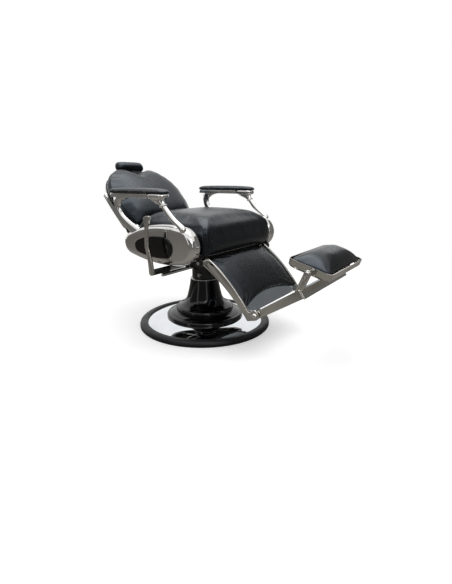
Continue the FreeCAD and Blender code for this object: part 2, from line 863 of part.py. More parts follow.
def make_recline_lock():
    frame = Placement(Vector(-float(d.crank_x), lock_front, float(lock_z)), Rotation(Vector(1, 0, 0), -90))
    rod_bore = 8
    body = revolve("recline_cylinder", [
        (0, 0),
        (lock_radius - 3, 0),
        (lock_radius, 3),
        (lock_radius, lock_length),
        (rod_bore + d.running_gap, lock_length),
        (rod_bore + d.running_gap, lock_length - 10),
        (lock_radius - 4, lock_length - 10),
        (lock_radius - 4, 8),
        (0, 8)], frame)
    keep(body, "recline_cylinder")
    half_swing = math.radians(float(d.back_swing) / 2)
    pin_y = d.back_hinge_y - d.crank_drop * math.sin(half_swing)
    slot = d.crank_pin_radius + 0.6
    play = d.crank_drop * ((1 - math.cos(half_swing)) * 0.5) + 0.6
    eye = d.crank_pin_radius + 9
    rod_length = pin_y - eye - lock_front - 20
    rod_frame = frame_at(lock_front + 20, lock_z, -d.crank_x)
    rod = cylinder("recline_rod_bar", rod_bore, rod_length + 4, rod_frame, "y")
    eye_body = new_body("recline_rod_eye", frame_at(pin_y, lock_z, -d.crank_x))
    for radius, feature in ((eye, pad), (slot, None)):
        sketch = new_sketch(eye_body, "YZ_Plane")
        bow = radius - 0.05
        draw_outline(sketch, [(radius, -play), (radius, play, -bow), (-radius, play), (-radius, -play, -bow)])
        if feature:
            pad(eye_body, sketch, 14)
        else:
            pocket_through(eye_body, sketch)
    keep(fuse("recline_rod_whole", [rod, eye_body]), "recline_rod")


# Soft forms of the seat

def make_seat_board():
    inset = 14
    hinge_room = 21
    width = float(d.side_plate_x) - inset
    front = hinge_room - float(d.leg_hinge_y)
    rear = float(d.cushion_rear) - inset
    board = Part.Face(rounded_rectangle(-width, width, front, rear, 30, 0))
    shape = board.extrude(Vector(0, 0, float(d.board_thickness)))
    keep(formed("seat_board", shape, frame_at(0, board_bottom)), "seat_board")


def make_seat_cushion():
    height = float(d.cushion_height)
    width = float(d.cushion_half_width)
    front = float(d.cushion_front)
    rear = float(d.cushion_rear)
    lean = math.tan(math.radians(float(d.recline_angle) - float(d.back_swing)))
    hinge = float(back_hinge_z) - float(cushion_bottom)
    corner = 26
    # share of the height, then how far the sides, the front and the rear are drawn in
    layers = [
        (0.0, 10, 14, 2),
        (0.10, 2, 3, 0),
        (0.32, 0, 0, 0),
        (0.60, 0, 0, 0),
        (0.72, 5, 5, 4),
        (0.83, 20, 24, 14),
        (0.92, 56, 64, 40),
        (0.975, 110, 120, 90),
        (1.0, 190, 180, 150)]
    wires = []
    for share, side_in, front_in, rear_in in layers:
        z = share * height
        radius = corner + side_in * 0.4
        lean_back = max(0, z - hinge) * lean * 0.8
        wires.append(rounded_rectangle(
            side_in - width, width - side_in, front_in - front, rear - rear_in + lean_back, radius, z))
    keep(formed("seat_cushion", loft(wires), frame_at(0, cushion_bottom)), "seat_cushion")


# Side shells

def egg_wire(x, share, inset=0):
    """Two end circles joined by long arcs that are tangent to both, about the shell's middle."""
    middle = Vector(0, -10, 0)
    front = (Vector(0, -float(d.shell_front_y), 0) - middle) * share
    rear = (Vector(0, float(d.shell_rear_y), -float(d.shell_rear_drop)) - middle) * share
    front_radius = float(d.shell_front_radius) * share - inset
    rear_radius = float(d.shell_rear_radius) * share - inset
    centres = {}
    for name, crown, up in (("top", 600 * share - inset, 1), ("bottom", 800 * share - inset, -1)):
        a = crown - front_radius
        b = crown - rear_radius
        span = rear - front
        gap = span.Length
        along = (a * a - b * b + gap * gap) / (2 * gap)
        off = math.sqrt(a * a - along * along)
        run = span * (1 / gap)
        across = Vector(0, run.z, -run.y) * up
        centres[name] = (front + run * along + across * off, crown)

    def touch(name, centre, radius):
        return centre + (centre - centres[name][0]).normalize() * radius

    top_front = touch("top", front, front_radius)
    top_rear = touch("top", rear, rear_radius)
    low_front = touch("bottom", front, front_radius)
    low_rear = touch("bottom", rear, rear_radius)
    tip = front - Vector(0, front_radius, 0)

    def halfway(a, b, centre, radius):
        return centre + ((a + b) * 0.5 - centre).normalize() * radius

    points = [tip, low_front, low_rear, top_rear, top_front]
    bulges = [
        halfway(tip, low_front, front, front_radius),
        halfway(low_front, low_rear, *centres["bottom"]),
        halfway(low_rear, top_rear, rear, rear_radius),
        halfway(top_rear, top_front, *centres["top"]),
        halfway(top_front, tip, front, front_radius)]
    shift = middle + Vector(x, 0, 0)
    return wire_through([point + shift for point in points], [point + shift for point in bulges])


def egg_block(side, start, depth, inset, outer_round, inner_round=0):
    """The egg drawn out sideways from a start, smaller all round by the inset, its two rims rounded over."""
    block = Part.Face(egg_wire(side * start, 1.0, inset)).extrude(Vector(side * depth, 0, 0))
    for x, radius in ((side * (start + depth), outer_round), (side * start, inner_round)):
        if radius > 0:
            rim = []
            for edge in block.Edges:
                box = edge.BoundBox
                if abs(box.XMin - x) + abs(box.XMax - x) < 0.1:
                    rim.append(edge)
            block = block.makeFillet(radius, rim)
    return block


def shell_outer(side):
    rounds = (float(d.shell_round), float(d.shell_inner_round))
    return egg_block(side, float(shell_x), float(d.shell_depth), 0, *rounds)


def shell_hollow(side):
    """The room inside the shell, opening through its turned-in inner rim."""
    wall = float(d.shell_wall)
    rim = float(d.shell_inner_round) + wall
    start = float(shell_x)
    depth = float(d.shell_depth) - wall - rim
    chamber = egg_block(side, start + rim, depth, wall, float(d.shell_round) - wall)
    mouth = egg_block(side, start - 1, rim + 2, rim, 0)
    return chamber.fuse(mouth)


shell_blanks = {}


def make_side_shells():
    place = frame_at(0, shell_z)
    face_x = float(shell_x) + float(d.shell_depth)
    screw_radius = 6
    screw_depth = 16
    screw_head = 1.5
    screw_y = -30
    screw_rise = 12
    inlays = []
    screws = []
    for name, side in sides.items():
        outer = shell_outer(side)
        keep(formed(f"side_shell_{name}", outer.cut(shell_hollow(side)), place), f"side_shell_{name}")
        shell_blanks[name] = formed(f"shell_blank_{name}", outer, place)
        seat = side * (face_x + float(d.seat_gap))
        rim = float(d.inlay_share)
        inlay = loft([egg_wire(seat, rim), egg_wire(seat + side * float(d.inlay_thickness), rim - 0.03)])
        inlay_place = place.multiply(frame_at(d.inlay_shift, -d.inlay_drop))
        inlays.append(formed(f"side_inlay_{name}", inlay, inlay_place))
        screw_at = Vector(side * (face_x - screw_depth), screw_y, screw_rise - float(d.shell_front_radius))
        screw = Part.makeCylinder(screw_radius, screw_depth + screw_head, screw_at, Vector(side, 0, 0))
        screw = screw.cut(outer)
        screws.append(formed(f"shell_screw_{name}", screw, place))
    group("side_inlays", inlays)
    group("shell_screws", screws)


# Arms

def arm_frame(side):
    turn = Rotation(Vector(0, 0, 1), side * float(d.arm_splay))
    return Placement(Vector(side * float(d.arm_rear_x), float(d.arm_rear_y), float(arm_z)), turn)


def cast_bar(stations):
    """A smooth bar through ovals. A station is its middle in the side view, its lean forward from
    upright, half its width in that view and half its thickness."""
    points_round = 8
    wires = []
    for y, z, lean, half_width, half_thickness in stations:
        turn = Rotation(Vector(1, 0, 0), -lean)
        middle = Vector(0, float(y), float(z))
        points = []
        for number in range(points_round):
            angle = 2 * math.pi / points_round * number
            flat = Vector(half_thickness * math.cos(angle), half_width * math.sin(angle), 0)
            points.append(middle + turn.multVec(flat))
        oval = Part.BSplineCurve()
        oval.interpolate(Points=points, PeriodicFlag=True)
        wires.append(Part.Wire(oval.toShape()))
    return Part.makeLoft(wires, True, False)


def make_arm_posts():
    cap_bottom = d.rail_depth - d.cap_depth - d.seat_gap
    front_foot = d.shell_rise + d.shell_front_radius - d.arm_height
    rear_foot = d.shell_rise + d.shell_rear_radius - d.shell_rear_drop - d.arm_height
    cap_y = d.arm_rear_y - d.arm_length + d.cap_length * 0.5
    rear_y = d.arm_rear_y - d.post_flare
    thick = float(d.post_thickness) * 0.5
    # trumpet under the cap, slender neck, bar leaning to the front, foot on the shell
    front_bar = [
        (cap_y + 5, cap_bottom, 0, 42, thick + 2),
        (cap_y - 8, -12, 8, 27, thick),
        (cap_y - 29, -29, 24, 13, thick - 2),
        (cap_y - 55, -58, 42, 13, thick - 1),
        (cap_y - 90, -87, 54, 11, thick - 1),
        (cap_y - 120, front_foot + 4, 56, 12, thick),
        (cap_y - 133, front_foot - 7, 24, 14, thick + 1),
        (cap_y - 135, front_foot - 18, 4, 11, thick - 2)]
    # broad bracket under the rail, waist, web swept forward to the shell
    rear_bar = [
        (rear_y, -d.seat_gap, 0, 60, thick + 1),
        (rear_y + 20, -12, 6, 40, thick),
        (rear_y + 36, -32, 4, 22, thick - 2),
        (rear_y + 34, -60, 16, 19, thick - 2),
        (rear_y + 10, -94, 44, 21, thick - 1),
        (rear_y - 34, rear_foot + 27, 56, 21, thick),
        (rear_y - 80, rear_foot - 2, 50, 29, thick + 1),
        (rear_y - 104, rear_foot - 24, 44, 29, thick)]
    bars = {"front": (front_bar, d.front_post_x), "rear": (rear_bar, d.rear_post_x)}
    for end, (stations, x) in bars.items():
        bar = cast_bar(stations)
        if end == "front":
            y, z, lean, _, neck = stations[2]
            ring_axis = Rotation(Vector(1, 0, 0), -lean).multVec(Vector(0, 0, 1))
            ring_at = Vector(0, float(y), float(z))
            bar = bar.fuse(Part.makeTorus(neck + 1, float(d.post_ring), ring_at, ring_axis))
        above = Part.makeBox(200, 800, 50, Vector(-100, -400, float(stations[0][1])))
        bar = bar.cut(above)
        for name, side in sides.items():
            blank = formed(f"{end}_post_blank_{name}", bar, frame_at(0, arm_z, side * x))
            keep(cut(f"{end}_post_{name}", blank, shell_blanks[name]), f"arm_{end}_post_{name}")


def make_arm_rails():
    rails = []
    caps = []
    rail_length = d.arm_length - d.cap_length
    half_cap = float(d.cap_width) * 0.5
    cap_rear = -float(rail_length)
    cap_front = -float(d.arm_length)
    cap_bottom = float(d.rail_depth - d.cap_depth)
    # share of the cap's depth, then how far its sides and front are drawn in
    cap_layers = [(0.0, 7), (0.22, 2), (0.5, 0), (0.8, 0.5), (1.0, 3)]
    cap_wires = []
    for share, inset in cap_layers:
        z = cap_bottom + share * float(d.cap_depth)
        cap_wires.append(rounded_rectangle(
            inset - half_cap, half_cap - inset, cap_front + inset, cap_rear, half_cap, z))
    for name, side in sides.items():
        frame = arm_frame(side)
        rail = new_body(f"arm_rail_{name}", frame)
        sketch = new_sketch(rail, "XY_Plane")
        half = d.rail_width * 0.5
        corner = 14
        bow = corner * 0.29
        draw_outline(sketch, [
            (-half, -rail_length),
            (half, -rail_length),
            (half, -corner, -bow),
            (half - corner, 0),
            (corner - half, 0, -bow),
            (-half, -corner)])
        pad(rail, sketch, d.rail_depth, symmetric=False)
        rails.append(rail)
        caps.append(formed(f"arm_cap_{name}", loft(cap_wires), frame))
    group("arm_rails", rails)
    group("arm_caps", caps)


def make_arm_pads():
    thick = float(d.pad_thickness)
    half = float(d.pad_half_width)
    length = float(d.arm_length)
    overhang = 4
    layers = [(0.0, 4), (0.25, 0), (0.55, 1), (0.82, 8), (1.0, 20)]
    for name, side in sides.items():
        wires = []
        for share, inset in layers:
            across = half - inset
            front = inset - length - overhang
            wires.append(rounded_rectangle(
                -across, across, front, overhang - inset, across * 0.8, share * thick))
        frame = arm_frame(side).multiply(frame_at(0, d.rail_depth + d.seat_gap))
        keep(formed(f"arm_pad_{name}", loft(wires), frame), f"arm_pad_{name}")


# Recline lever, turning on its own shaft

def make_recline_lever():
    body = new_body("recline_lever", frame_at(-d.lever_y, shaft_z, -d.lever_x))
    sketch = new_sketch(body, "YZ_Plane")
    top = d.lever_height
    boss = 13
    waist = top * 0.45
    neck = top * 0.74
    # round boss, shank bent to the rear, flared paddle at the top
    draw_outline(sketch, [
        (-boss, 0, 0.1 - boss),
        (boss, 0, 4),
        (29, waist),
        (27, neck, 3),
        (28, top - 28, -3),
        (27, top - 6, -5),
        (-12, top - 2, 3),
        (0, top - 30, 3),
        (9, neck),
        (11, waist, -4)])
    pad(body, sketch, d.lever_thickness)
    sketch = new_sketch(body, "YZ_Plane")
    draw_circle(sketch, 0, 0, d.shaft_radius)
    pad(body, sketch, d.shaft_length, symmetric=False)
    keep(body, "recline_lever")
    sleeve_x = d.lever_thickness * 0.5 + d.seat_gap - d.lever_x
    start = Vector(float(sleeve_x), -float(d.lever_y), float(shaft_z))
    frame = Placement(start, Rotation(Vector(0, 1, 0), 90))
    sleeve = revolve("lever_sleeve", [
        (d.shaft_radius + d.running_gap, 0),
        (d.sleeve_grip_radius - 2, 0),
        (d.sleeve_grip_radius, 2),
        (d.sleeve_grip_radius, d.sleeve_grip_length),
        (d.shaft_radius + d.running_gap, d.sleeve_grip_length)], frame)
    keep(sleeve, "lever_sleeve")
    spring_start = sleeve_x + d.sleeve_grip_length + d.seat_gap
    make_lever_spring(float(spring_start))


def tangent_arcs(start, start_run, end, end_run):
    """Two arcs that leave one point and reach another along the given directions."""
    chord = end - start
    both = start_run + end_run
    a = 2 * (1 - start_run.dot(end_run))
    b = 2 * chord.dot(both)
    reach = (-b + math.sqrt(b * b + 4 * a * chord.dot(chord))) / (2 * a)
    meet = (start + start_run * reach + end - end_run * reach) * 0.5
    arcs = []
    for first, corner, last in ((start, start + start_run * reach, meet), (meet, end - end_run * reach, end)):
        middle = (first + last) * 0.5
        half_angle = (corner - first).getAngle(last - first)
        rise = (last - first).Length * 0.5 * math.tan(half_angle / 2)
        arcs.append(Part.Arc(first, middle + (corner - middle).normalize() * rise, last).toShape())
    return arcs


def make_lever_spring(start_x):
    """A coil about the shaft, drawn in its own frame along Z and swept as one tube."""
    radius = float(d.spring_radius)
    pitch = float(d.spring_pitch)
    wire = float(d.spring_wire)
    quarters = 4 * int((float(d.spring_length) - 2 * wire) / pitch)

    def on_coil(quarter):
        angle = math.pi / 2 * quarter
        return Vector(radius * math.cos(angle), radius * math.sin(angle), wire + pitch * quarter / 4)

    def along_coil(quarter):
        angle = math.pi / 2 * quarter
        return Vector(-radius * math.sin(angle), radius * math.cos(angle), pitch / (2 * math.pi)).normalize()

    edges = []
    for quarter in range(quarters):
        following = quarter + 1
        leave = (on_coil(quarter), along_coil(quarter))
        reach = (on_coil(following), along_coil(following))
        edges += tangent_arcs(*leave, *reach)
    section = Part.Wire([Part.makeCircle(wire, on_coil(0), along_coil(0))])
    skin = [Part.Face(section)]
    for edge in edges:
        centre = edge.Curve.Center
        axis = edge.Curve.Axis
        turn = math.degrees(edge.LastParameter - edge.FirstParameter)
        skin += section.revolve(centre, axis, turn).Faces
        section = section.copy()
        section.rotate(centre, axis, turn)
    skin.append(Part.Face(section))
    shell = Part.Shell(skin)
    shell.sewShape()
    coil = Part.Solid(shell)
    frame = Placement(Vector(start_x, -float(d.lever_y), float(shaft_z)), Rotation(Vector(0, 1, 0), 90))
    keep(formed("lever_spring", coil, frame), "lever_spring")
    steps = 8
    points = [on_coil(step / steps) for step in range(steps * quarters)]
    gap = min((points[0] - point).Length for point in points[3 * steps:]) - 2 * wire
    print("lever spring least gap to itself", round(gap, 2), "mm")


# Back

back_low = 16
headrest_bottom = d.back_height + d.headrest_gap
headrest_tongue_z = headrest_bottom + d.headrest_height * 0.4


def back_wire(depth, inset):
    """The egg-shaped outline of the back at a depth behind its front edge, drawn in by an inset."""
    width = float(d.back_width)
    height = float(d.back_height)
    middle = Vector(0, 0, height * 0.5)
    shrink_x = (width - inset) / width
    shrink_z = (height * 0.5 - inset) / (height * 0.5)

    def at(share_x, share_z):
        z = back_low + (height - back_low) * share_z
        return Vector(share_x * width * shrink_x, depth, (z - middle.z) * shrink_z + middle.z)

    half = [
        (at(0.26, 0.98), at(0.42, 0.995)),
        (at(0.54, 0.975), at(0.84, 0.81)),
        (at(1.0, 0.53), at(0.985, 0.31)),
        (at(0.86, 0.06), at(0.82, 0.015))]
    end = at(0.74, 0.0)

    def other(point):
        return Vector(-point.x, point.y, point.z)

    points = [start for start, _ in half] + [end]
    bulges = [middle_point for _, middle_point in half] + [None]
    mirrored = [other(point) for point in points[::-1]]
    mirrored_bulges = [other(point) for point in bulges[:-1][::-1]]
    top_dip = at(0.0, 0.955)
    return wire_through(points + mirrored, bulges + mirrored_bulges + [top_dip])


def make_back():
    depth = float(d.back_depth)
    crown = float(d.back_crown)
    board = float(d.back_board_thickness)
    gap = float(d.seat_gap)
    # depth behind the front edge, then how far the outline is drawn in
    layers = [
        (depth - gap, 10),
        (depth * 0.85, 3),
        (depth * 0.5, 0),
        (depth * 0.2, 1),
        (0, 7),
        (-crown * 0.35, 26),
        (-crown * 0.72, 62),
        (-crown * 0.93, 104),
        (-crown, 150)]
    cushion = loft([back_wire(y, inset) for y, inset in layers])
    keep(formed("back_cushion", cushion, back_frame), "back_cushion")
    rim = 8
    core = float(d.trim_width) + rim
    inner = Part.Face(back_wire(depth, core + gap)).extrude(Vector(0, board, 0))
    keep(formed("back_board", inner, back_frame), "back_board")
    outer = Part.Face(back_wire(depth, rim)).extrude(Vector(0, board, 0))
    hole = Part.Face(back_wire(depth, core)).extrude(Vector(0, board, 0))
    keep(formed("back_trim", outer.cut(hole), back_frame), "back_trim")
    # rear cover between the hinge arms, notched for the headrest socket
    start = depth + board + gap
    cover = float(d.back_cover_depth)
    inset = float(d.back_width) - float(back_arm_x) + float(d.back_arm_thickness) + 6
    dome_layers = [(0, 0), (0.7, 6), (1, 26)]
    dome = loft([back_wire(start + cover * share, inset + drawn) for share, drawn in dome_layers])
    notch_half = float(d.headrest_bar_width) * 0.5 + 18
    notch_low = float(headrest_tongue_z) - float(d.headrest_bar_length) - 10
    notch = Part.makeBox(2 * notch_half, cover + 2, 300, Vector(-notch_half, start - 1, notch_low))
    keep(formed("back_cover", dome.cut(notch), back_frame), "back_cover")


def make_back_arms():
    behind = d.back_depth + d.back_board_thickness + d.seat_gap
    rear = behind + 15
    eye = 20
    corner = eye * 0.7
    top = d.back_height * 0.67
    members = []
    for name, side in sides.items():
        frame = back_frame.multiply(frame_at(0, 0, side * back_arm_x))
        # from the hinge eye back and up to a strip behind the board
        path = [
            (-corner, -corner),
            (10, -18, -8),
            (rear, 60, -3),
            (rear, top, 7),
            (behind, top),
            (behind, 84, 4),
            (-corner, corner)]
        bores = [(0, 0, d.hinge_pin_radius + d.running_gap)]
        members.append(plate(f"back_arm_{name}", path, d.back_arm_thickness, frame, bores, [(0, 0, eye)]))
    group("back_arms", members)


def make_back_crank():
    """The cross tube on the hinge line, with the arm that the recline lock holds."""
    half = back_arm_x - d.back_arm_thickness * 0.5 - d.seat_gap
    tube_radius = d.hinge_pin_radius + 3
    tube_frame = frame_at(d.back_hinge_y, back_hinge_z, -half)
    tube = cylinder("back_crank_tube", tube_radius, 2 * half, tube_frame, "x")
    half_swing = math.radians(float(d.back_swing) / 2)
    pin_y = -d.crank_drop * math.sin(half_swing)
    pin_z = -d.crank_drop * math.cos(half_swing)
    arm_x = -d.crank_x - 13
    arm_thickness = 8
    frame = frame_at(d.back_hinge_y, back_hinge_z, arm_x)
    knee = -d.crank_drop * 0.38
    path = [
        (-8, -6), (8, -8), (34, knee, -6), (pin_y + 12, pin_z - 8), (pin_y - 12, pin_z - 4), (8, knee, 4)]
    pin_boss = d.crank_pin_radius + 6
    arm = plate("back_crank_arm", path, arm_thickness, frame, (), [(pin_y, pin_z, pin_boss), (0, 0, 16)])
    pin_frame = frame_at(d.back_hinge_y + pin_y, back_hinge_z + pin_z, arm_x)
    pin = cylinder("back_crank_pin", d.crank_pin_radius, arm_thickness * 3, pin_frame, "x")
    keep(fuse("back_crank_whole", [tube, arm, pin]), "back_crank")


# Headrest

def make_headrest():
    behind = d.back_depth + d.back_board_thickness + d.seat_gap
    socket_depth = d.headrest_bar_thickness + 8
    socket_half = d.headrest_bar_width * 0.5 + 12
    top = d.back_height - 14
    bottom = top - d.socket_length
    socket = new_body("headrest_socket", back_frame.multiply(frame_at(behind + socket_depth * 0.5, bottom)))
    sketch = new_sketch(socket, "XY_Plane")
    half_depth = socket_depth * 0.5
    corner = 8
    bow = 2
    draw_outline(sketch, [
        (-socket_half, -half_depth),
        (socket_half, -half_depth),
        (socket_half, 0, -bow),
        (socket_half - corner, half_depth),
        (corner - socket_half, half_depth, -bow),
        (-socket_half, 0)])
    pad(socket, sketch, d.socket_length, symmetric=False)
    sketch = new_sketch(socket, "XY_Plane")
    slot_x = d.headrest_bar_width * 0.5 + d.seat_gap
    slot_y = d.headrest_bar_thickness * 0.5 + d.seat_gap
    draw_outline(sketch, [(-slot_x, -slot_y), (slot_x, -slot_y), (slot_x, slot_y), (-slot_x, slot_y)])
    pocket_through(socket, sketch)
    keep(socket, "headrest_socket")
    # flat bar with a row of catch notches, turned forward over the top of the back
    bar_y = behind + socket_depth * 0.5
    half = d.headrest_bar_width * 0.5
    bar = new_body("headrest_bar", back_frame.multiply(frame_at(bar_y, headrest_tongue_z)))
    sketch = new_sketch(bar, "XZ_Plane")
    bar_end = -d.headrest_bar_length
    draw_outline(sketch, [
        (half, 0),
        (-half, 0),
        (-half, bar_end + corner, -bow),
        (corner - half, bar_end),
        (half - corner, bar_end, -bow),
        (half, bar_end + corner)])
    pad(bar, sketch, d.headrest_bar_thickness)
    pad_rear = d.headrest_depth * 0.5 - d.headrest_forward
    thick = d.headrest_bar_thickness
    sketch = new_sketch(bar, "YZ_Plane")
    tip = pad_rear + d.seat_gap - bar_y
    draw_outline(sketch, [
        (thick * 0.5, -thick),
        (thick * 0.5, 0),
        (tip + thick, 0),
        (tip + thick, thick * 2),
        (tip, thick * 2),
        (tip, -thick)])
    pad(bar, sketch, d.headrest_bar_width)
    sketch = new_sketch(bar, "XZ_Plane")
    notch_count = 6
    notch_pitch = 16
    notch_radius = 4
    for number in range(notch_count):
        draw_circle(sketch, half, bar_end + notch_pitch * (number + 1.25), notch_radius)
    pocket_through(bar, sketch)
    keep(bar, "headrest_bar")
    height = float(d.headrest_height)
    width = float(d.headrest_half_width)
    depth = float(d.headrest_depth)
    # share of the depth, then how far the edge is drawn in
    layers = [(0.0, 12), (0.12, 4), (0.35, 0), (0.6, 1), (0.8, 6), (0.93, 14), (1.0, 22)]
    pad_corner = 22
    wires = []
    for share, inset in layers:
        wires.append(rounded_rectangle(
            inset - width, width - inset, inset, height - inset, pad_corner, depth * share))
    lie_back = Rotation(Vector(1, 0, 0), 90)
    frame = back_frame.multiply(Placement(Vector(0, float(pad_rear), float(headrest_bottom)), lie_back))
    keep(formed("headrest_pad", loft(wires), frame), "headrest_pad")


# Leg rest

rail_top_edge = (-8, 25, -292, -8, 13)
rail_low_edge = (-312, -42, 6, -22, 17)


def leg_edge_curve(lower, end):
    """Three points of the arched edge that the panel and pad follow, a distance below the rail's top."""
    y0, z0, y1, z1, rise = rail_top_edge
    run = Vector(0, y1 - y0, z1 - z0)
    reach = abs(y1 - y0)
    share = (float(end) + y0) / reach

    def at(part):
        chord = Vector(0, y0, z0) + run * part
        return chord + Vector(0, 0, rise * 4 * part * (1 - part) - lower)

    return at(0.02), at(share * 0.5), at(min(share, 1.0))


def leg_strip(x, top_lower, bottom_lower, end):
    top_a, top_mid, top_b = leg_edge_curve(top_lower, end)
    low_a, low_mid, low_b = leg_edge_curve(bottom_lower, end)
    shift = Vector(x, 0, 0)
    points = [top_a + shift, top_b + shift, low_b + shift, low_a + shift]
    return wire_through(points, [top_mid + shift, None, low_mid + shift, None])


def make_leg_rest():
    y0, z0, y1, z1, rise = rail_top_edge
    y2, z2, y3, z3, low_rise = rail_low_edge
    reach = -d.foot_hinge_reach
    bores = [(0, 0, d.hinge_pin_radius + d.running_gap), (reach, 0, d.foot_hinge_radius + d.running_gap)]
    path = [
        (y3, z3, -6),
        (14, 6, -5),
        (y0, z0, -rise),
        (reach + 30, z1),
        (reach + 17, 21, -3),
        (reach - 9, 18, -4),
        (reach - 16, -8),
        (reach + 10, z2, low_rise)]
    for name, side in sides.items():
        frame = leg_frame.multiply(frame_at(0, 0, side * leg_rail_x))
        rail = plate(f"leg_rail_{name}", path, d.leg_rail_thickness, frame, bores)
        keep(rail, f"leg_rail_{name}")
    half = float(leg_rail_x - d.leg_rail_thickness * 0.5)
    pad_under = 6 + float(d.leg_pad_thickness)
    sheet_under = pad_under + float(d.leg_panel_thickness)
    end = float(d.leg_panel_length)
    panel = Part.Face(leg_strip(-half, pad_under, sheet_under, end)).extrude(Vector(2 * half, 0, 0))
    keep(formed("leg_panel", panel, leg_frame), "leg_panel")
    # upholstery, fuller in the middle, its lower edge cut to an arc
    gap = float(d.seat_gap)
    half -= gap
    stations = [(-1.0, 7), (-0.86, 2), (-0.5, -3), (0.0, -5), (0.5, -3), (0.86, 2), (1.0, 7)]
    end -= float(d.leg_pad_short)
    wires = [leg_strip(half * share, lower, pad_under - gap, end) for share, lower in stations]
    blank = loft(wires)
    rise = float(d.leg_pad_rise)
    radius = (half * half + rise * rise) / (2 * rise)
    centre_y = -end + rise - radius
    round_cut = Part.makeCylinder(radius, 200, Vector(0, centre_y, -100))
    keep(formed("leg_pad", blank.cut(round_cut), leg_frame), "leg_pad")


# Footrest

foot_arm_x = leg_rail_x - d.leg_rail_thickness * 0.5 - d.seat_gap * 4 - d.foot_arm_thickness * 0.5
foot_bracket_x = foot_arm_x - d.foot_arm_thickness
pin_head = 6


def make_foot_arms():
    half = d.foot_arm_width * 0.5
    end = -d.foot_arm_length
    reach = -d.foot_pivot_reach
    rise = d.foot_pivot_rise
    wide = d.foot_bracket_width * 0.5
    arm_path = [
        (8, half - 5), (-12, half - 2), (end, half - 11), (end, -half - 16), (-12, -half), (8, 5 - half)]
    # the bracket is lapped on the arm's inner face and turned up to the tray's pivot
    lean = math.atan2(float(rise) - 4, -float(reach - end) - 3)
    across = wide * math.sin(lean)
    up = wide * math.cos(lean)
    root_y = end + 17
    root_z = -4
    bracket_path = [
        (root_y + across, root_z + up),
        (root_y - across, root_z - up),
        (reach - across, rise - up),
        (reach + across, rise + up)]
    # the arms are the two ends of one flat bar bent round the front
    front = end - d.foot_arm_thickness * 0.6
    cross_half = foot_arm_x + d.foot_arm_thickness * 0.5
    cross_path = [(end, half - 16), (front, half - 16), (front, -half - 20), (end, -half - 20)]
    crossbar = plate("foot_crossbar", cross_path, 2 * cross_half, foot_frame)
    bent_bar = [crossbar]
    brackets = []
    hinge_bore = (0, 0, d.foot_hinge_radius + d.running_gap)
    pivot_bore = (reach, rise, d.foot_pivot_radius + d.running_gap)
    thick = d.foot_arm_thickness
    for name, side in sides.items():
        frame = foot_frame.multiply(frame_at(0, 0, side * foot_arm_x))
        bent_bar.append(plate(f"foot_arm_{name}", arm_path, thick, frame, [hinge_bore], [(0, 0, half)]))
        frame = foot_frame.multiply(frame_at(0, 0, side * foot_bracket_x))
        ears = [(reach, rise, wide)]
        bracket = plate(f"foot_bracket_{name}", bracket_path, thick, frame, [pivot_bore], ears)
        brackets.append(cut(f"foot_bracket_notched_{name}", bracket, crossbar))
    group("foot_bar", bent_bar)
    group("foot_brackets", brackets)
    head_start = leg_rail_x + d.leg_rail_thickness * 0.5 + d.seat_gap
    head_radius = d.foot_hinge_radius + 5
    rod_frame = foot_frame.multiply(Placement(Vector(), Rotation(Vector(0, 1, 0), 90)))
    rod = revolve("foot_hinge_rod", [
        (0, -head_start - pin_head),
        (head_radius * 0.5, -head_start - pin_head, -1.5),
        (head_radius, -head_start),
        (d.foot_hinge_radius, -head_start),
        (d.foot_hinge_radius, head_start),
        (head_radius, head_start, -1.5),
        (head_radius * 0.5, head_start + pin_head),
        (0, head_start + pin_head)], rod_frame)
    keep(rod, "foot_hinge_rod")


def make_foot_tray():
    half_x = float(d.tray_half_width)
    half_y = float(d.tray_half_length)
    shift = float(d.tray_shift)
    depth = float(d.tray_depth)
    wall = float(d.tray_wall)
    top = float(d.tray_rise)
    corner = 24

    def level(inset, radius, z):
        across = half_x - inset
        along = half_y - inset
        return rounded_rectangle(-across, across, shift - along, shift + along, radius, z)

    def pan(shrink, lift):
        # share of the depth, then how far the wall is drawn in
        layers = [(0.0, 14), (0.12, 6), (0.3, 1.5), (1.0, 0)]
        floor = top - depth + lift
        wires = []
        for share, inset in layers:
            wires.append(level(inset + shrink, corner - shrink, floor + depth * share))
        return loft(wires)

    keep(formed("foot_tray", pan(0, 0).cut(pan(wall, wall)), tray_frame), "foot_tray")
    crown = float(d.foot_pad_crown)
    clear = wall + float(d.seat_gap) + 1
    sunk = 10
    pad_layers = [(0.0, 2), (0.15, 0), (0.36, 1), (0.52, 6), (0.7, 18), (0.86, 36), (0.96, 56), (1.0, 72)]
    pad_wires = []
    for share, inset in pad_layers:
        pad_wires.append(level(clear + inset, corner, top - sunk + (crown + sunk) * share))
    keep(formed("foot_pad", loft(pad_wires), tray_frame), "foot_pad")
    pivots = []
    inner = d.tray_half_width + d.seat_gap
    stem = foot_bracket_x + d.foot_arm_thickness * 0.5 + d.seat_gap - inner
    head_radius = d.foot_pivot_radius + 3
    for name, side in sides.items():
        start = tray_frame.multVec(Vector(side * float(inner), 0, 0))
        frame = Placement(start, Rotation(Vector(0, 1, 0), side * 90))
        flange = foot_bracket_x - d.foot_arm_thickness * 0.5 - inner - d.seat_gap
        pivots.append(revolve(f"foot_pivot_{name}", [
            (0, 0),
            (head_radius, 0),
            (head_radius, flange),
            (d.foot_pivot_radius, flange),
            (d.foot_pivot_radius, stem),
            (head_radius, stem, -1.5),
            (head_radius * 0.5, stem + pin_head),
            (0, stem + pin_head)], frame))
    group("foot_pivots", pivots)


